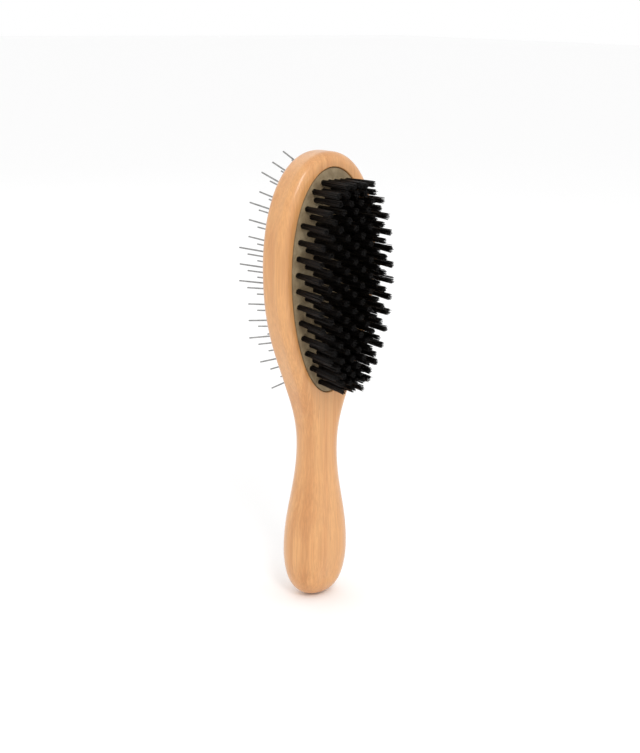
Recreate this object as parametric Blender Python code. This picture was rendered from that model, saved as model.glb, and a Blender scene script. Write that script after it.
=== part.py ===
"""Two-sided grooming brush: a wooden body with a round handle and an oval head,
rows of nylon tufts in a rubber cushion on one face (-Y) and rows of steel pins
in a second rubber cushion on the other (+Y). Lengths are in millimetres here
and become metres as meshes are made. Z runs from the handle's end to the top
of the head, X is the brush's width, and the origin is at the handle's end."""

from math import atan2, cos, hypot, pi, radians, sin, tan

import bmesh
import bpy
import numpy as np
from mathutils import Matrix

for old in list(bpy.data.objects):
    bpy.data.objects.remove(old, do_unlink=True)

MM = 0.001

# Wooden body
LENGTH = 221.0
BELLY = (16.7, 25.5)  # half width, height
NECK = (10.3, 77.0)
WIDEST = (31.1, 169.0)
OUTLINE = [  # Bezier segments of the right-hand outline, (half width, height)
    ((0.0, 0.0), (12.0, 0.0), (BELLY[0], 9.3), BELLY),
    (BELLY, (BELLY[0], 45.5), (NECK[0], 57.0), NECK),
    (NECK, (NECK[0], 112.5), (WIDEST[0], 121.5), WIDEST),
    (WIDEST, (WIDEST[0], 198.2), (19.8, LENGTH), (0.0, LENGTH)),
]
SEGMENT_STEPS = (9, 8, 14, 13)
THICKNESS = [(0.0, 9.8), (25.5, 12.0), (77.0, 8.5), (97.0, 8.3), (LENGTH, 8.3)]
FACE = 8.3  # half thickness of the head
HEAD_EDGE = 5.0  # radius of the head's rounded edge
EDGE_BLEND = (80.0, 110.0)  # where the round handle becomes the flat head
EDGE_STEPS = 4

# Cushion seats: an egg outline, its pocket and its undercut groove
EGG_WIDTH = 24.2
EGG_HEIGHT = 54.0
EGG_CENTRE = 160.0
EGG_TAPER = 0.12
EGG_STEPS = 32
POCKET_FLOOR = 2.0
GROOVE = (5.2, 7.0)
GROOVE_DEPTH = 1.6
GAP = 0.3

# Rubber cushions
SHEET = 1.2
RIM_LEVEL = 7.9
DOME_STATIONS = (0.0, 0.4, 0.68, 0.87, 1.0)
DOME_POWER = 2.4
BRISTLE_CROWN = 10.1
PIN_CROWN = 10.7

# Bristle tufts
TUFT_R = 1.4
TUFT_TIP_R = 1.6
TUFT_LENGTH = 17.6
TUFT_ROW_COUNT = 26
TUFT_ROW_STEP = 3.8
TUFT_ROW_START = 112.15
TUFT_COLUMNS = 10  # curved like the field's edge; each row fills every other one
TUFT_SPACING = 3.6  # least distance between two tufts of a row
TUFT_FIELD = (21.0, 50.5)  # half width and half height of the planted area
TUFT_SPLAY = 5.0  # degrees outward at the sides
TUFT_LEAN = (-2.5, 2.5, 0.0)  # degrees in the middle, and how it grows upward

# Steel pins
PIN_R = 0.45
PIN_TIP_R = 0.35
PIN_LENGTH = 21.4
PIN_COLUMN = 5.4
PIN_STEP = 3.65
PIN_LEVELS = 28
PIN_MIDDLE = 160.6
PIN_FIELD = (22.0, 51.0)
PIN_SPLAY = 12.0
PIN_LEAN = (-3.0, 15.0, 12.0)

# Backing strips that carry each row's roots under the cushion
STRIP = 0.8
TUFT_STRIP_W = 2.4
PIN_STRIP_W = 1.2
HOLE_CLEARANCE = 0.18
PRESS = 2.5  # how far a field of tufts or pins sinks with its cushion

# name: (colour, roughness, metallic)
FINISHES = {
    "lacquered_beech": ((0.72, 0.40, 0.17, 1.0), 0.38, 0.0),
    "khaki_rubber": ((0.16, 0.13, 0.09, 1.0), 0.75, 0.0),
    "black_nylon": ((0.006, 0.006, 0.006, 1.0), 0.45, 0.0),
    "steel_wire": ((0.45, 0.45, 0.46, 1.0), 0.3, 1.0),
}


def finish(name):
    material = bpy.data.materials.get(name)
    if material is None:
        material = bpy.data.materials.new(name)
        material.use_nodes = True
        shader = material.node_tree.nodes["Principled BSDF"]
        colour, roughness, metallic = FINISHES[name]
        shader.inputs["Base Color"].default_value = colour
        shader.inputs["Roughness"].default_value = roughness
        shader.inputs["Metallic"].default_value = metallic
    return material


def make(name, verts, faces, cutter=False, material=None):
    """A closed mesh object, facing out, from points in millimetres."""
    mesh = bpy.data.meshes.new(name)
    mesh.from_pydata([tuple(MM * c for c in v) for v in verts], [], faces)
    bm = bmesh.new()
    bm.from_mesh(mesh)
    bmesh.ops.recalc_face_normals(bm, faces=bm.faces)
    bm.to_mesh(mesh)
    bm.free()
    obj = bpy.data.objects.new(name, mesh)
    bpy.context.scene.collection.objects.link(obj)
    if material:
        mesh.materials.append(finish(material))
        mesh.shade_smooth()
        mesh.set_sharp_from_angle(angle=radians(35))
    if cutter:
        obj.hide_render = True
        obj.display_type = "WIRE"
    return obj


def carrier(name, y):
    """An empty on the line along which a field of tufts or pins is pressed."""
    empty = bpy.data.objects.new(name, None)
    empty.location = (0.0, MM * y, MM * EGG_CENTRE)
    bpy.context.scene.collection.objects.link(empty)
    return empty


def hang(obj, parent):
    """Give obj its parent's origin, leaving its shape where it is."""
    shift = [-c for c in parent.location]
    obj.data.transform(Matrix.Translation(shift))
    obj.parent = parent


def combine(target, tool, operation):
    mod = target.modifiers.new(tool.name, "BOOLEAN")
    mod.operation = operation
    mod.solver = "EXACT"
    mod.object = tool


def smooth(t):
    t = min(max(t, 0.0), 1.0)
    return t * t * (3 - 2 * t)


def half_thickness(z):
    for (z0, b0), (z1, b1) in zip(THICKNESS, THICKNESS[1:]):
        if z <= z1:
            return b0 + (b1 - b0) * smooth((z - z0) / (z1 - z0))
    return THICKNESS[-1][1]


def edge_radius(z):
    round_handle = half_thickness(z) - 0.2
    t = smooth((z - EDGE_BLEND[0]) / (EDGE_BLEND[1] - EDGE_BLEND[0]))
    return round_handle + (HEAD_EDGE - round_handle) * t


def bezier(points, t):
    """Point and outward normal of the right-hand outline."""
    p = np.array(points)
    u = 1 - t
    at = u**3 * p[0] + 3 * u * u * t * p[1] + 3 * u * t * t * p[2] + t**3 * p[3]
    go = u * u * (p[1] - p[0]) + 2 * u * t * (p[2] - p[1]) + t * t * (p[3] - p[2])
    go = go / np.linalg.norm(go)
    return at, np.array([go[1], -go[0]])


def wood_body():
    stations = [bezier(OUTLINE[0], 0.0)]
    for segment, steps in zip(OUTLINE, SEGMENT_STEPS):
        stations += [bezier(segment, (i + 1) / steps) for i in range(steps)]
    angles = [0.5 * pi * i / EDGE_STEPS for i in range(EDGE_STEPS + 1)]
    verts, rings = [], []
    for at, normal in stations:
        b, r = half_thickness(at[1]), edge_radius(at[1])
        side = []
        for sign, order in ((1, angles[::-1]), (-1, angles)):
            for a in order:
                x, z = at - r * (1 - cos(a)) * normal
                side.append((x, sign * (b - r + r * sin(a)), z))
        closed_end = abs(at[0]) < 1e-9
        right = list(range(len(verts), len(verts) + len(side)))
        verts += [(0.0, y, z) if closed_end else (x, y, z) for x, y, z in side]
        left = right
        if not closed_end:
            left = list(range(len(verts), len(verts) + len(side)))
            verts += [(-x, y, z) for x, y, z in side]
        rings.append((right, left))
    faces = []
    for (r0, l0), (r1, l1) in zip(rings, rings[1:]):
        for i in range(len(r0) - 1):
            faces.append((r0[i], r0[i + 1], r1[i + 1], r1[i]))
            faces.append((l0[i + 1], l0[i], l1[i], l1[i + 1]))
        for i in (0, -1):
            ring = [r0[i], r1[i], l1[i], l0[i]]
            faces.append(tuple(dict.fromkeys(ring)))
    body = make("wood_body", verts, faces, material="lacquered_beech")
    bm = bmesh.new()
    bm.from_mesh(body.data)
    bmesh.ops.dissolve_limit(
        bm, angle_limit=radians(0.02), verts=bm.verts, edges=bm.edges
    )
    bm.to_mesh(body.data)
    bm.free()
    for side, name in ((-1, "bristle_pocket"), (1, "pin_pocket")):
        profile = [
            (1.0, 0.0, FACE + 3.0),
            (1.0, 0.0, GROOVE[1]),
            (1.0, GROOVE_DEPTH, GROOVE[1]),
            (1.0, GROOVE_DEPTH, GROOVE[0]),
            (1.0, 0.0, GROOVE[0]),
            (1.0, 0.0, POCKET_FLOOR),
        ]
        top, floor = (0.0, 0.0, FACE + 3.0), (0.0, 0.0, POCKET_FLOOR)
        pocket = egg_solid(name, [top, *profile, floor], side, cutter=True)
        combine(body, pocket, "DIFFERENCE")
    return body


def egg_ring(offset):
    """Points of the egg outline about its centre, moved out by offset."""
    ring = []
    for i in range(EGG_STEPS):
        t = 2 * pi * i / EGG_STEPS
        x = EGG_WIDTH * cos(t) * (1 + EGG_TAPER * sin(t))
        z = EGG_HEIGHT * sin(t)
        dx = EGG_WIDTH * (-sin(t) + EGG_TAPER * cos(2 * t))
        dz = EGG_HEIGHT * cos(t)
        n = hypot(dx, dz)
        ring.append((x + offset * dz / n, z - offset * dx / n))
    return ring


def egg_solid(name, profile, side, cutter=False, material=None):
    """Rings of (share of the outline, offset, |y|), capped where the share is 0."""
    verts, rings, faces = [], [], []
    for share, offset, y in profile:
        start = len(verts)
        if share == 0:
            verts.append((0.0, side * y, EGG_CENTRE))
            rings.append([start])
        else:
            for x, z in egg_ring(offset):
                verts.append((share * x, side * y, EGG_CENTRE + share * z))
            rings.append(list(range(start, start + EGG_STEPS)))
    for a, b in zip(rings, rings[1:]):
        for i in range(EGG_STEPS):
            j = (i + 1) % EGG_STEPS
            ring = [a[i % len(a)], a[j % len(a)], b[j % len(b)], b[i % len(b)]]
            faces.append(tuple(dict.fromkeys(ring)))
    return make(name, verts, faces, cutter, material)


def share_at(x, z, offset):
    """How far out (x, z) is, from 0 at the egg's centre to 1 at its rim."""
    ring = sorted((atan2(q, p), hypot(p, q)) for p, q in egg_ring(offset))
    angle = [a for a, _ in ring]
    reach = [r for _, r in ring]
    limit = np.interp(atan2(z - EGG_CENTRE, x), angle, reach, period=2 * pi)
    return hypot(x, z - EGG_CENTRE) / limit


def dome(share, crown):
    levels = [RIM_LEVEL + (crown - RIM_LEVEL) * (1 - k**DOME_POWER) for k in DOME_STATIONS]
    return float(np.interp(share, DOME_STATIONS, levels))


def outside_level(x, z, crown):
    return dome(share_at(x, z, -GAP), crown)


INNER = -GAP - 0.8  # offset of the sheet's inner wall at its rim


def inside_level(x, z, crown):
    return dome(share_at(x, z, INNER), crown) - SHEET


def cushion(name, crown, side, members, sides):
    outer = [(k, -GAP, dome(k, crown)) for k in DOME_STATIONS]
    inner = [(k, INNER, dome(k, crown) - SHEET) for k in DOME_STATIONS[::-1]]
    flange = [
        (1.0, -GAP, GROOVE[1] - GAP),
        (1.0, GROOVE_DEPTH - GAP, GROOVE[1] - GAP),
        (1.0, GROOVE_DEPTH - GAP, GROOVE[0] + GAP),
        (1.0, INNER, GROOVE[0] + GAP),
    ]
    sheet = egg_solid(name, outer + flange + inner, side, material="khaki_rubber")
    verts, faces = [], []
    for base, way, radius in members:
        wide = (radius + HOLE_CLEARANCE) / cos(pi / sides)
        prism(verts, faces, base - 4.0 * way, base + 3.0 * way, wide, wide, sides)
    combine(sheet, make(name + "_holes", verts, faces, cutter=True), "DIFFERENCE")
    return sheet


def prism(verts, faces, start, end, r0, r1, sides):
    """A straight many-sided stick from start to end."""
    way = (end - start) / np.linalg.norm(end - start)
    u = np.cross(way, [0.0, 0.0, 1.0])
    u /= np.linalg.norm(u)
    v = np.cross(way, u)
    first = len(verts)
    for centre, r in ((start, r0), (end, r1)):
        for i in range(sides):
            a = 2 * pi * (i + 0.5) / sides
            verts.append(tuple(centre + r * (cos(a) * u + sin(a) * v)))
    low = list(range(first, first + sides))
    high = [i + sides for i in low]
    faces.append(tuple(low[::-1]))
    faces.append(tuple(high))
    for i in range(sides):
        j = (i + 1) % sides
        faces.append((low[i], low[j], high[j], high[i]))


def field_half_width(z, field):
    u = (z - EGG_CENTRE) / field[1]
    return field[0] * (1 - min(u * u, 1.0)) ** 0.5 * (1 + EGG_TAPER * u)


def tuft_points(number):
    """One row's tufts; rows next to each other are mirrored, so they stagger."""
    z = TUFT_ROW_START + TUFT_ROW_STEP * (number - 1)
    half = field_half_width(z, TUFT_FIELD)
    shares = [2 * c / (TUFT_COLUMNS - 1) - 1 for c in range((number + 1) % 2, TUFT_COLUMNS, 2)]
    if half * (shares[1] - shares[0]) < TUFT_SPACING:
        shares = shares[::2]
    return [(half * k, z) for k in shares]


def direction(x, z, side, splay, lean):
    across = tan(radians(splay * x / EGG_WIDTH))
    up = (z - EGG_CENTRE) / TUFT_FIELD[1]
    along = tan(radians(lean[0] + lean[1] * up + lean[2] * up**3))
    way = np.array([across, side, along])
    return way / np.linalg.norm(way)


def row(name, members, side, crown, length, radii, strip_w, material, field):
    """One row: its sticks joined by a strip that hugs the sheet's inside."""
    roots = []
    for base, way, _ in members:
        depth = (SHEET + GAP + 0.5 * STRIP) / abs(way[1])
        roots.append(base - depth * way)
    path = [(r[0], r[2]) for r in roots]
    if len(path) == 1:
        path = [(x + path[0][0], path[0][1]) for x in (-1.0, 1.0)]
    middles = [((x0 + x1) / 2, (z0 + z1) / 2) for (x0, z0), (x1, z1) in zip(path, path[1:])]
    if path[1][0] - path[0][0] > 8.0:
        path = sorted(path + middles)
    ends = [2 * np.array(path[i]) - np.array(path[j]) for i, j in ((0, 1), (-1, -2))]
    for i, j, end in ((0, 1, ends[0]), (-1, -2, ends[1])):
        way = end - np.array(path[i])
        path[i] = tuple(np.array(path[i]) + 0.5 * way / np.linalg.norm(way))
    verts, faces = [], []
    for x, z in path:
        edges = (z - 0.5 * strip_w, z + 0.5 * strip_w)
        top = min(inside_level(x, edge, crown) for edge in edges) - GAP
        for y, at in ((top, edges[0]), (top, edges[1]), (top - STRIP, edges[1]), (top - STRIP, edges[0])):
            verts.append((x, side * y, at))
    last = len(verts) - 4
    for i in range(0, last, 4):
        for j in range(4):
            k = (j + 1) % 4
            faces.append((i + j, i + k, i + 4 + k, i + 4 + j))
    faces.append((0, 1, 2, 3))
    faces.append((last + 3, last + 2, last + 1, last))
    strip = make(name, verts, faces, material=material)
    verts, faces = [], []
    for (base, way, radius), root in zip(members, roots):
        prism(verts, faces, root, base + length * way, radii[0], radii[1], 6)
    sticks = make(name + "_sticks", verts, faces, cutter=True)
    hang(strip, field)
    hang(sticks, field)
    combine(strip, sticks, "UNION")
    return strip


def members_at(points, side, crown, splay, lean, radius):
    return [
        (
            np.array([x, side * outside_level(x, z, crown), z]),
            direction(x, z, side, splay, lean),
            radius,
        )
        for x, z in points
    ]


wood_body()

# Each field slides toward the wood by up to PRESS, along Y through its empty.
tuft_field = carrier("tuft_field", -POCKET_FLOOR - PRESS)
tufts = []
for number in range(1, TUFT_ROW_COUNT + 1):
    points = tuft_points(number)
    found = members_at(points, -1, BRISTLE_CROWN, TUFT_SPLAY, TUFT_LEAN, TUFT_R)
    tufts += found
    row(
        f"bristle_row_{number:02d}",
        found,
        -1,
        BRISTLE_CROWN,
        TUFT_LENGTH,
        (TUFT_R, TUFT_TIP_R),
        TUFT_STRIP_W,
        "black_nylon",
        tuft_field,
    )
cushion("bristle_cushion", BRISTLE_CROWN, -1, tufts, 6)

pin_field = carrier("pin_field", POCKET_FLOOR + PRESS)
pins = []
for number in range(PIN_LEVELS):
    z = PIN_MIDDLE + PIN_STEP * (number - 0.5 * (PIN_LEVELS - 1))
    half = field_half_width(z, PIN_FIELD)
    columns = [c for c in range(-4, 5) if (c + number) % 2 and abs(c * PIN_COLUMN) <= half]
    points = [(c * PIN_COLUMN, z) for c in columns]
    found = members_at(points, 1, PIN_CROWN, PIN_SPLAY, PIN_LEAN, PIN_R)
    pins += found
    row(
        f"pin_row_{number + 1:02d}",
        found,
        1,
        PIN_CROWN,
        PIN_LENGTH,
        (PIN_R, PIN_TIP_R),
        PIN_STRIP_W,
        "steel_wire",
        pin_field,
    )
cushion("pin_cushion", PIN_CROWN, 1, pins, 4)
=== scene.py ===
from math import atan2, cos, hypot, pi, radians, sin, sqrt, tan
from random import Random

import bpy
import numpy as np
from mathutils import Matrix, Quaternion, Vector


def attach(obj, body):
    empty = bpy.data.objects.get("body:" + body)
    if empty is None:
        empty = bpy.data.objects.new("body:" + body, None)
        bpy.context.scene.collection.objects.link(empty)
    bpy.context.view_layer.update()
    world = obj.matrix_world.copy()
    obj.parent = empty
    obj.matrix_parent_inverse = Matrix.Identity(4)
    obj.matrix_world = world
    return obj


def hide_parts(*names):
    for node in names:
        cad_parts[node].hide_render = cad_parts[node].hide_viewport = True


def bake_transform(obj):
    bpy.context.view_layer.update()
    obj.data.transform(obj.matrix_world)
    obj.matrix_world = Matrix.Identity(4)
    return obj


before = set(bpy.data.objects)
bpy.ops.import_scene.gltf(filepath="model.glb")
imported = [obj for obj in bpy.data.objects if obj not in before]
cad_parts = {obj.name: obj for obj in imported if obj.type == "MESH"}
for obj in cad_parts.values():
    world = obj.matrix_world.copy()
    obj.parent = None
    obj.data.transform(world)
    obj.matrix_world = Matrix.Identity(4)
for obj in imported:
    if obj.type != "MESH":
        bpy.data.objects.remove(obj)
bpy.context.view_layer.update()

MM = 0.001

# The brush's own dimensions, in millimetres, as its solids have them
LENGTH, FACE, HEAD_EDGE = 221.0, 8.3, 5.0
BELLY, NECK, WIDEST = (16.7, 25.5), (10.3, 77.0), (31.1, 169.0)
OUTLINE = [
    ((0.0, 0.0), (12.0, 0.0), (BELLY[0], 9.3), BELLY),
    (BELLY, (BELLY[0], 45.5), (NECK[0], 57.0), NECK),
    (NECK, (NECK[0], 112.5), (WIDEST[0], 121.5), WIDEST),
    (WIDEST, (WIDEST[0], 198.2), (19.8, LENGTH), (0.0, LENGTH)),
]
THICKNESS = [(0.0, 9.8), (25.5, 12.0), (77.0, 8.5), (97.0, 8.3), (LENGTH, 8.3)]
EDGE_BLEND = (80.0, 110.0)
EGG_W, EGG_H, EGG_Z, EGG_TAPER = 24.2, 54.0, 160.0, 0.12
FLOOR, GROOVE_TOP = 2.0, 7.0
RIM_LEVEL, DOME_POWER, SHEET = 7.9, 2.4, 1.2
BRISTLE_CROWN, PIN_CROWN = 10.1, 10.7
TUFT_R, TUFT_TIP_R, TUFT_LENGTH = 1.4, 1.6, 17.6
TUFT_ROW_COUNT, TUFT_ROW_STEP, TUFT_ROW_START = 26, 3.8, 112.15
TUFT_COLUMNS, TUFT_SPACING = 10, 3.6
TUFT_FIELD, TUFT_SPLAY, TUFT_LEAN = (21.0, 50.5), 5.0, (-2.5, 2.5, 0.0)
PIN_LENGTH, PIN_COLUMN, PIN_STEP, PIN_LEVELS, PIN_MIDDLE = 21.4, 5.4, 3.65, 28, 160.6
PIN_FIELD, PIN_SPLAY, PIN_LEAN = (22.0, 51.0), 12.0, (-3.0, 15.0, 12.0)

HAIRS = 44  # filaments in a tuft
HAIR_R = 0.15
ROOT_INSET, TIP_INSET = 0.12, 0.08  # how far inside the tuft's edge they stop
PIN_R = 0.42
TUFT_COLLAR, PIN_COLLAR = (1.25, 0.42), (0.34, 0.32)  # inner radius, swell
HEAD_START = 97.0  # where the head's flat faces begin, round the pockets


# ---------------------------------------------------------------- materials
def new_material(name):
    material = bpy.data.materials.new(name)
    material.use_nodes = True
    tree = material.node_tree
    return material, tree, tree.nodes["Principled BSDF"]


def add(tree, kind, inputs=(), **settings):
    """A shader node with its settings; inputs are values or other sockets."""
    node = tree.nodes.new(kind)
    for key, value in settings.items():
        setattr(node, key, value)
    for key, value in dict(inputs).items():
        if isinstance(value, bpy.types.NodeSocket):
            tree.links.new(value, node.inputs[key])
        else:
            node.inputs[key].default_value = value
    return node


def coordinates(tree, scale):
    where = add(tree, "ShaderNodeTexCoord").outputs["Object"]
    return add(tree, "ShaderNodeMapping", {"Vector": where, "Scale": scale}).outputs[0]


def noise(tree, at, scale, detail=4.0, rough=0.55, distort=0.0):
    return add(
        tree,
        "ShaderNodeTexNoise",
        {
            "Vector": at,
            "Scale": scale,
            "Detail": detail,
            "Roughness": rough,
            "Distortion": distort,
        },
    ).outputs["Fac"]


def ramp(tree, fac, stops):
    node = add(tree, "ShaderNodeValToRGB", {"Fac": fac})
    ends = node.color_ramp.elements
    while len(ends) < len(stops):
        ends.new(0.5)
    for end, (position, colour) in zip(ends, stops):
        end.position = position
        end.color = (*colour, 1.0)
    return node.outputs["Color"]


def spread(tree, fac, low, high, to_low=0.0, to_high=1.0):
    return add(
        tree,
        "ShaderNodeMapRange",
        {
            "Value": fac,
            "From Min": low,
            "From Max": high,
            "To Min": to_low,
            "To Max": to_high,
        },
    ).outputs["Result"]


def mix(tree, fac, a, b, blend="MIX"):
    node = tree.nodes.new("ShaderNodeMix")
    node.data_type, node.blend_type = "RGBA", blend
    for index, value in ((0, fac), (6, a), (7, b)):
        if isinstance(value, bpy.types.NodeSocket):
            tree.links.new(value, node.inputs[index])
        else:
            node.inputs[index].default_value = value
    return node.outputs[2]


def bump(tree, shader, height, strength, distance):
    node = add(
        tree,
        "ShaderNodeBump",
        {"Height": height, "Strength": strength, "Distance": distance},
    )
    tree.links.new(node.outputs["Normal"], shader.inputs["Normal"])


def beech():
    material, tree, shader = new_material("lacquered_beech")
    link = tree.links.new
    along = coordinates(tree, (1.0, 1.0, 0.055))
    broad = noise(tree, along, 95.0, 3.0, 0.5, 0.6)
    figure = noise(tree, along, 260.0, 5.0, 0.6, 0.4)
    fibre = noise(tree, coordinates(tree, (1.0, 1.0, 0.03)), 1500.0, 3.0, 0.6)
    colour = ramp(
        tree,
        broad,
        [
            (0.30, (0.555, 0.248, 0.084)),
            (0.46, (0.625, 0.294, 0.106)),
            (0.58, (0.660, 0.328, 0.124)),
            (0.72, (0.605, 0.309, 0.126)),
        ],
    )
    streak = spread(tree, figure, 0.44, 0.68)
    colour = mix(tree, streak, colour, (0.695, 0.352, 0.133, 1.0))
    pore = spread(tree, fibre, 0.40, 0.62, 0.90, 1.03)
    colour = mix(tree, 1.0, colour, pore, "MULTIPLY")
    # the short brown ray flecks of beech
    cells = add(
        tree,
        "ShaderNodeTexVoronoi",
        {"Vector": coordinates(tree, (1.0, 1.0, 0.16)), "Scale": 640.0, "Randomness": 1.0},
    ).outputs["Distance"]
    patchy = spread(tree, noise(tree, along, 420.0, 2.0), 0.47, 0.60)
    fleck = add(
        tree,
        "ShaderNodeMath",
        {0: spread(tree, cells, 0.20, 0.08), 1: patchy},
        operation="MULTIPLY",
    ).outputs[0]
    some = add(tree, "ShaderNodeMath", {0: fleck, 1: 0.34}, operation="MULTIPLY")
    colour = mix(tree, some.outputs[0], colour, (0.40, 0.170, 0.066, 1.0))
    link(colour, shader.inputs["Base Color"])
    link(spread(tree, figure, 0.3, 0.7, 0.50, 0.38), shader.inputs["Roughness"])
    shader.inputs["Coat Weight"].default_value = 0.55
    shader.inputs["Coat Roughness"].default_value = 0.16
    shader.inputs["Specular IOR Level"].default_value = 0.4
    bump(tree, shader, fibre, 0.10, 0.0002)
    return material


def rubber():
    material, tree, shader = new_material("khaki_rubber")
    link = tree.links.new
    at = coordinates(tree, (1.0, 1.0, 1.0))
    cloudy = noise(tree, at, 130.0, 4.0, 0.6)
    grain = noise(tree, at, 2600.0, 2.0, 0.6)
    colour = ramp(
        tree,
        cloudy,
        [
            (0.30, (0.165, 0.115, 0.062)),
            (0.52, (0.235, 0.175, 0.098)),
            (0.72, (0.330, 0.262, 0.165)),
        ],
    )
    colour = mix(tree, 1.0, colour, spread(tree, grain, 0.3, 0.7, 0.86, 1.10), "MULTIPLY")
    link(colour, shader.inputs["Base Color"])
    link(spread(tree, cloudy, 0.3, 0.7, 0.62, 0.78), shader.inputs["Roughness"])
    shader.inputs["Specular IOR Level"].default_value = 0.35
    bump(tree, shader, grain, 0.25, 0.0001)
    return material


def nylon():
    material, tree, shader = new_material("black_nylon")
    link = tree.links.new
    across = coordinates(tree, (1.0, 0.04, 1.0))
    strand = noise(tree, across, 3200.0, 2.0, 0.6)
    colour = ramp(
        tree,
        strand,
        [
            (0.35, (0.0015, 0.0012, 0.0012)),
            (0.58, (0.0032, 0.0024, 0.0022)),
            (0.75, (0.0090, 0.0058, 0.0042)),
        ],
    )
    link(colour, shader.inputs["Base Color"])
    link(spread(tree, strand, 0.3, 0.7, 0.34, 0.52), shader.inputs["Roughness"])
    shader.inputs["Specular IOR Level"].default_value = 0.22
    return material


def steel():
    material, tree, shader = new_material("steel_wire")
    link = tree.links.new
    drawn = noise(tree, coordinates(tree, (1.0, 0.05, 1.0)), 2400.0, 3.0, 0.6)
    spots = noise(tree, coordinates(tree, (1.0, 1.0, 1.0)), 300.0, 2.0)
    colour = ramp(tree, spots, [(0.3, (0.24, 0.235, 0.23)), (0.7, (0.36, 0.355, 0.35))])
    link(colour, shader.inputs["Base Color"])
    link(spread(tree, drawn, 0.3, 0.7, 0.20, 0.38), shader.inputs["Roughness"])
    shader.inputs["Metallic"].default_value = 1.0
    bump(tree, shader, drawn, 0.08, 0.00005)
    return material


BEECH, RUBBER, NYLON, STEEL = beech(), rubber(), nylon(), steel()


# ----------------------------------------------------------------- geometry
class Shape:
    """Points and faces in millimetres, collected and turned into one mesh."""

    def __init__(self):
        self.verts, self.faces = [], []

    def row(self, points):
        start = len(self.verts)
        self.verts += [tuple(p) for p in points]
        return list(range(start, len(self.verts)))

    def face(self, *corners):
        ring = tuple(dict.fromkeys(corners))
        if len(ring) > 2:
            self.faces.append(ring)

    def strip(self, a, b, closed=False):
        """Quads between two rows of the same length, or one of a single point."""
        n = max(len(a), len(b))
        for i in range(n if closed else n - 1):
            j = (i + 1) % n
            self.face(a[i % len(a)], a[j % len(a)], b[j % len(b)], b[i % len(b)])

    def make(self, name, material, sharp=40.0):
        mesh = bpy.data.meshes.new(name)
        mesh.from_pydata([[MM * c for c in v] for v in self.verts], [], self.faces)
        mesh.materials.append(material)
        mesh.validate()
        obj = bpy.data.objects.new(name, mesh)
        bpy.context.scene.collection.objects.link(obj)
        bpy.context.view_layer.objects.active = obj
        obj.select_set(True)
        bpy.ops.object.mode_set(mode="EDIT")
        bpy.ops.mesh.select_all(action="SELECT")
        bpy.ops.mesh.normals_make_consistent(inside=False)
        bpy.ops.object.mode_set(mode="OBJECT")
        obj.select_set(False)
        mesh.shade_smooth()
        mesh.set_sharp_from_angle(angle=radians(sharp))
        return obj


def smooth(t):
    t = min(max(t, 0.0), 1.0)
    return t * t * (3 - 2 * t)


def half_thickness(z):
    for (z0, b0), (z1, b1) in zip(THICKNESS, THICKNESS[1:]):
        if z <= z1:
            return b0 + (b1 - b0) * smooth((z - z0) / (z1 - z0))
    return THICKNESS[-1][1]


def edge_radius(z):
    round_handle = half_thickness(z) - 0.2
    t = smooth((z - EDGE_BLEND[0]) / (EDGE_BLEND[1] - EDGE_BLEND[0]))
    return round_handle + (HEAD_EDGE - round_handle) * t


def bezier(points, t):
    p = np.array(points)
    u = 1 - t
    at = u**3 * p[0] + 3 * u * u * t * p[1] + 3 * u * t * t * p[2] + t**3 * p[3]
    go = u * u * (p[1] - p[0]) + 2 * u * t * (p[2] - p[1]) + t * t * (p[3] - p[2])
    go = go / np.linalg.norm(go)
    return at, np.array([go[1], -go[0]])


def egg(offset, steps):
    ring = []
    for i in range(steps):
        t = 2 * pi * i / steps
        x = EGG_W * cos(t) * (1 + EGG_TAPER * sin(t))
        z = EGG_H * sin(t)
        dx = EGG_W * (-sin(t) + EGG_TAPER * cos(2 * t))
        dz = EGG_H * cos(t)
        n = hypot(dx, dz)
        ring.append((x + offset * dz / n, z - offset * dx / n))
    return ring


RIMS = {}


def share_at(x, z, offset):
    if offset not in RIMS:
        ring = sorted((atan2(q, p), hypot(p, q)) for p, q in egg(offset, 360))
        RIMS[offset] = np.array(ring).T
    angle, reach = RIMS[offset]
    limit = np.interp(atan2(z - EGG_Z, x), angle, reach, period=2 * pi)
    return hypot(x, z - EGG_Z) / limit


def dome(share, crown):
    return RIM_LEVEL + (crown - RIM_LEVEL) * (1 - min(share, 1.0) ** DOME_POWER)


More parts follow.
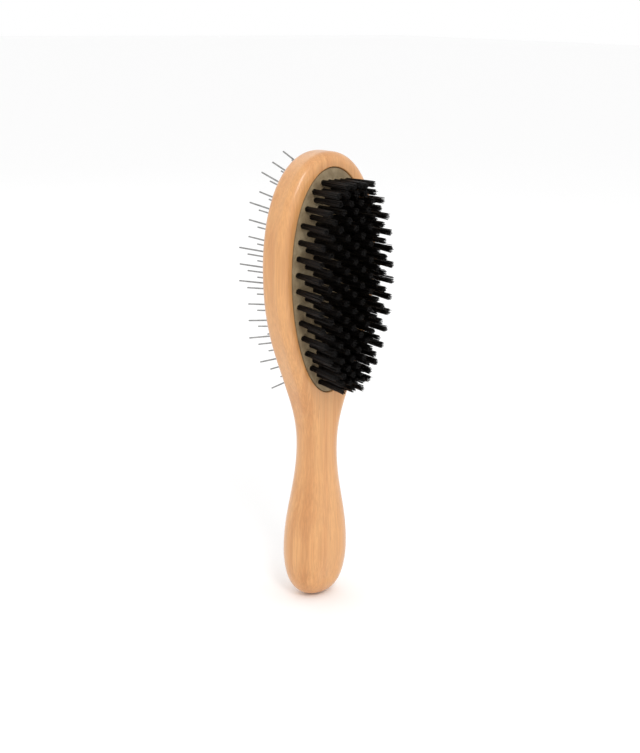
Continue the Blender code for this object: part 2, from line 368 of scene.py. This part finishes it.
def wood():
    shape = Shape()
    columns, arc, around = 8, 12, 160
    stations = [bezier(OUTLINE[0], 0.0)]
    for segment, steps in zip(OUTLINE, (28, 22, 44, 44)):
        stations += [bezier(segment, (i + 1) / steps) for i in range(steps)]
    angles = [0.5 * pi * i / arc for i in range(arc + 1)]
    rows = []
    for at, normal in stations:
        b, r = half_thickness(at[1]), edge_radius(at[1])
        side = []
        for sign, order in ((-1, angles[::-1]), (1, angles)):
            for a in order:
                x, z = at - r * (1 - cos(a)) * normal
                side.append((x, sign * (b - r + r * sin(a)), z))
        end = abs(at[0]) < 1e-9
        if end:
            side = [(0.0, y, z) for _, y, z in side]
        right = shape.row(side)
        left = right if end else shape.row([(-x, y, z) for x, y, z in side])
        rows.append((right, left, b))
    for (r0, l0, _), (r1, l1, _) in zip(rows, rows[1:]):
        shape.strip(r0, r1)
        shape.strip(l0, l1)
    split = next(
        i for i, (right, _, _) in enumerate(rows) if shape.verts[right[0]][2] > HEAD_START
    )
    for face, pick in ((-1, 0), (1, -1)):
        # the handle's flat, then the head's flat round the pocket's mouth
        flats = []
        for right, left, b in rows[: split + 1]:
            r, l = right[pick], left[pick]
            if r == l:
                flats.append([r])
                continue
            x, _, z = shape.verts[r]
            inner = [(x - 2 * x * k / columns, face * b, z) for k in range(1, columns)]
            flats.append([r, *shape.row(inner), l])
        for a, b in zip(flats, flats[1:]):
            shape.strip(a, b)
        loop = [row[0][pick] for row in rows[split:]]
        loop += [row[1][pick] for row in rows[-2 : split - 1 : -1]]
        loop += flats[-1][1:-1][::-1]
        lip = 0.7
        mouth = []
        for k in range(7):
            a = 0.5 * pi * k / 6
            mouth.append((lip * (1 - sin(a)), FACE - lip * (1 - cos(a))))
        mouth += [(0.0, GROOVE_TOP), (0.0, FLOOR)]
        rings = [
            shape.row([(x, face * y, EGG_Z + z) for x, z in egg(offset, around)])
            for offset, y in mouth
        ]
        for a, b in zip(rings, rings[1:]):
            shape.strip(a, b, closed=True)
        floor = shape.row([(0.0, face * FLOOR, EGG_Z)])
        shape.strip(rings[-1], floor, closed=True)
        zipper(shape, loop, rings[0])
    return shape.make("wood", BEECH, 50.0)


def zipper(shape, outer, inner):
    """Triangles between two loops that both go round the egg's centre."""

    def turned(loop):
        return sorted(
            (atan2(shape.verts[i][2] - EGG_Z, shape.verts[i][0]), i) for i in loop
        )

    a, b = turned(outer), turned(inner)
    a.append((a[0][0] + 2 * pi, a[0][1]))
    b.append((b[0][0] + 2 * pi, b[0][1]))
    i = j = 0
    while i < len(a) - 1 or j < len(b) - 1:
        if j == len(b) - 1 or (i < len(a) - 1 and a[i + 1][0] <= b[j + 1][0]):
            shape.face(a[i][1], a[i + 1][1], b[j][1])
            i += 1
        else:
            shape.face(a[i][1], b[j + 1][1], b[j][1])
            j += 1


def tube(shape, points, radii, sides, twist=0.0, dome_tip=False):
    """A thin round stick through the points, closed at the far end."""
    way = points[-1] - points[0]
    way = way / np.linalg.norm(way)
    u = np.cross(way, [0.0, 0.0, 1.0])
    u /= np.linalg.norm(u)
    v = np.cross(way, u)
    stops = list(zip(points, radii))
    if dome_tip:
        last, r = stops[-1]
        stops[-1] = (last - r * way, r)
        stops += [(last - r * (1 - sin(a)) * way, r * cos(a)) for a in (0.5, 1.0, 1.35)]
    before = None
    for centre, r in stops:
        ring = shape.row(
            centre + r * (cos(a) * u + sin(a) * v)
            for a in (twist + 2 * pi * i / sides for i in range(sides))
        )
        if before:
            shape.strip(before, ring, closed=True)
        before = ring
    shape.face(*before)


def cushion(name, side, crown, members, collar_r, collar):
    """The rubber sheet: a dome with a turned-in rim, and a lip round each root."""
    shape = Shape()
    around = 128
    profile = [(k / 22, -0.25, dome(k / 22, crown)) for k in range(1, 22)]
    profile += [
        (1.0, -0.45, dome(0.985, crown)),
        (1.0, -0.28, RIM_LEVEL - 0.15),
        (1.0, -0.25, RIM_LEVEL - 0.5),
        (1.0, -0.25, GROOVE_TOP - 0.2),
        (1.0, -1.0, GROOVE_TOP - 0.6),
    ]
    profile += [(k / 12, -1.2, dome(k / 12, crown) - SHEET) for k in range(12, 0, -1)]
    top = shape.row([(0.0, side * crown, EGG_Z)])
    before = top
    for share, offset, y in profile:
        ring = shape.row(
            [(share * x, side * y, EGG_Z + share * z) for x, z in egg(offset, around)]
        )
        shape.strip(before, ring, closed=True)
        before = ring
    inside = shape.row([(0.0, side * (crown - SHEET), EGG_Z)])
    shape.strip(before, inside, closed=True)
    for base, way in members:
        lip_ring(shape, base, way, side, crown, collar_r, collar)
    return shape.make(name, RUBBER, 50.0)


def lip_ring(shape, base, way, side, crown, radius, swell):
    """A low rounded collar on the sheet where a tuft or pin comes through."""
    steps = 20 if radius > 1 else 12
    before = None
    for k in range(6):
        a = pi * k / 5
        r = radius + swell * 0.9 * (1 - cos(a))
        lift = swell * 0.75 * sin(a) - 0.05
        points = []
        for i in range(steps):
            t = 2 * pi * i / steps
            x, z = base[0] + r * cos(t), base[2] + r * sin(t)
            y = dome(share_at(x, z, -0.25), crown) + lift
            points.append((x, side * y, z))
        ring = shape.row(points)
        if before:
            shape.strip(before, ring, closed=True)
        before = ring


def field_half_width(z, field):
    u = (z - EGG_Z) / field[1]
    return field[0] * sqrt(1 - min(u * u, 1.0)) * (1 + EGG_TAPER * u)


def planted(points, side, crown, splay, lean):
    """Where each stick of a row leaves the sheet, and which way it points."""
    found = []
    for x, z in points:
        up = (z - EGG_Z) / TUFT_FIELD[1]
        across = tan(radians(splay * x / EGG_W))
        along = tan(radians(lean[0] + lean[1] * up + lean[2] * up**3))
        way = np.array([across, side, along])
        base = np.array([x, side * dome(share_at(x, z, -0.3), crown), z])
        found.append((base, way / np.linalg.norm(way)))
    return found


def tuft_rows():
    """Rows next to each other are mirrored, so their tufts stagger."""
    rows = []
    for number in range(TUFT_ROW_COUNT):
        z = TUFT_ROW_START + TUFT_ROW_STEP * number
        half = field_half_width(z, TUFT_FIELD)
        columns = range(number % 2, TUFT_COLUMNS, 2)
        shares = [2 * c / (TUFT_COLUMNS - 1) - 1 for c in columns]
        if half * (shares[1] - shares[0]) < TUFT_SPACING:
            shares = shares[::2]
        points = [(half * k, z) for k in shares]
        rows.append(planted(points, -1, BRISTLE_CROWN, TUFT_SPLAY, TUFT_LEAN))
    return rows


def pin_rows():
    rows = []
    for number in range(PIN_LEVELS):
        z = PIN_MIDDLE + PIN_STEP * (number - 0.5 * (PIN_LEVELS - 1))
        half = field_half_width(z, PIN_FIELD)
        points = [
            (c * PIN_COLUMN, z)
            for c in range(-4, 5)
            if (c + number) % 2 and abs(c * PIN_COLUMN) <= half
        ]
        rows.append(planted(points, 1, PIN_CROWN, PIN_SPLAY, PIN_LEAN))
    return rows


def hair_row(name, members, seed):
    """Each tuft is a bundle of separate filaments, packed round and cut level."""
    shape, dice = Shape(), Random(seed)
    for base, way in members:
        u = np.cross(way, [0.0, 0.0, 1.0])
        u /= np.linalg.norm(u)
        v = np.cross(way, u)
        lean = np.array([dice.gauss(0, 0.18), dice.gauss(0, 0.1), dice.gauss(0, 0.18)])
        for i in range(HAIRS):
            r = sqrt((i + 0.5) / HAIRS)
            a = i * 2.39996 + dice.uniform(-0.15, 0.15)
            spot = r * (cos(a) * u + sin(a) * v)
            root = base - 1.3 * way + (TUFT_R - ROOT_INSET) * spot
            loose = 0.16 if dice.random() < 0.93 else 0.45
            tip = base + (TUFT_LENGTH + dice.uniform(-0.35, 0.1)) * way
            tip = tip + (TUFT_TIP_R - TIP_INSET) * spot + lean
            tip = tip + dice.gauss(0, loose) * u + dice.gauss(0, loose) * v
            bow = dice.gauss(0, 0.07) * u + dice.gauss(0, 0.07) * v
            middle = root + 0.55 * (tip - root) + bow
            radii = (HAIR_R, HAIR_R, HAIR_R * 0.9)
            tube(shape, [root, middle, tip], radii, 5, dice.uniform(0, 1.2))
    return shape.make(name, NYLON, 60.0)


def pin_row(name, members, seed):
    """Drawn wire pins with rounded tips, none of them dead straight."""
    shape, dice = Shape(), Random(seed)
    for base, way in members:
        root = base - 1.4 * way
        tip = base + PIN_LENGTH * way
        sway = np.array([dice.gauss(0, 0.16), 0.0, dice.gauss(0, 0.16)])
        middle = 0.5 * (root + tip) + 0.2 * sway
        radii = (PIN_R, PIN_R, PIN_R * 0.92)
        tube(shape, [root, middle, tip + sway], radii, 12, dome_tip=True)
    return shape.make(name, STEEL, 60.0)


body = wood()
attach(body, "handle")
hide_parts("wood_body")

tufts, pins = tuft_rows(), pin_rows()
for number, members in enumerate(tufts, 1):
    hair = hair_row(f"tufts_{number:02d}", members, 100 + number)
    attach(hair, "tuft_field")
    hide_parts(f"bristle_row_{number:02d}")
for number, members in enumerate(pins, 1):
    wires = pin_row(f"pins_{number:02d}", members, 300 + number)
    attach(wires, "pin_field")
    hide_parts(f"pin_row_{number:02d}")

for name, side, crown, rows, collar, field, slot in (
    ("bristle_pad", -1, BRISTLE_CROWN, tufts, TUFT_COLLAR, "tuft_field", "rubber_bristle_side"),
    ("pin_pad", 1, PIN_CROWN, pins, PIN_COLLAR, "pin_field", "rubber_pin_side"),
):
    members = [m for row in rows for m in row]
    pad = cushion(name, side, crown, members, *collar)
    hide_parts(name.replace("pad", "cushion"))
    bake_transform(pad)


# ------------------------------------------------------------ stage and light
def floor():
    shape = Shape()
    corners = shape.row([(-9000, -9000, 0), (9000, -9000, 0), (9000, 9000, 0), (-9000, 9000, 0)])
    shape.face(*corners)
    material, tree, shader = new_material("pale_floor")
    shader.inputs["Base Color"].default_value = (0.97, 0.97, 0.97, 1.0)
    shader.inputs["Roughness"].default_value = 0.9
    shader.inputs["Specular IOR Level"].default_value = 0.1
    return shape.make("floor", material)


floor()


def softbox(name, azimuth, elevation, distance, size, power, aim=(0.0, 0.0, 0.12)):
    light = bpy.data.lights.new(name, "AREA")
    light.shape, light.size, light.size_y = "RECTANGLE", size[0], size[1]
    light.energy = power
    lamp = bpy.data.objects.new(name, light)
    a, e = radians(azimuth), radians(elevation)
    back = Vector((sin(a) * cos(e), -cos(a) * cos(e), sin(e)))
    lamp.location = Vector(aim) + distance * back
    lamp.rotation_mode = "QUATERNION"
    lamp.rotation_quaternion = back.to_track_quat("Z", "Y")
    bpy.context.scene.collection.objects.link(lamp)


softbox("key", -27.0, 40.0, 1.1, (0.22, 0.5), 3.2)
softbox("fill", 60.0, 25.0, 1.4, (0.9, 0.9), 0.6)
softbox("back", 170.0, 35.0, 1.4, (0.9, 0.9), 1.0)

world = bpy.data.worlds.new("studio")
world.use_nodes = True
world.node_tree.nodes["Background"].inputs["Color"].default_value = (1, 1, 1, 1)
world.node_tree.nodes["Background"].inputs["Strength"].default_value = 1.0
bpy.context.scene.world = world
bpy.context.scene.view_settings.view_transform = "Standard"
bpy.context.scene.view_settings.look = "None"

# ---------------------------------------------------------------- camera
AZIMUTH, ELEVATION, ROLL = -42.0, 14.6, 1.08
DISTANCE = 0.70
SENSOR, LENS = 36.0, 68.94
AIM_HEIGHT, AIM_SIDE = 0.1120, 0.0010

a, e = radians(AZIMUTH), radians(ELEVATION)
back = Vector((sin(a) * cos(e), -cos(a) * cos(e), sin(e)))
right = Vector((cos(a), sin(a), 0.0))
lens = bpy.data.cameras.new("camera")
lens.sensor_width, lens.lens = SENSOR, LENS
lens.clip_start, lens.clip_end = 0.02, 50.0
camera = bpy.data.objects.new("camera", lens)
camera.location = Vector((0, 0, AIM_HEIGHT)) + AIM_SIDE * right + DISTANCE * back
camera.rotation_mode = "QUATERNION"
turn = (-back).to_track_quat("-Z", "Y")
camera.rotation_quaternion = turn @ Quaternion((0, 0, 1), radians(ROLL))
bpy.context.scene.collection.objects.link(camera)
bpy.context.scene.camera = camera
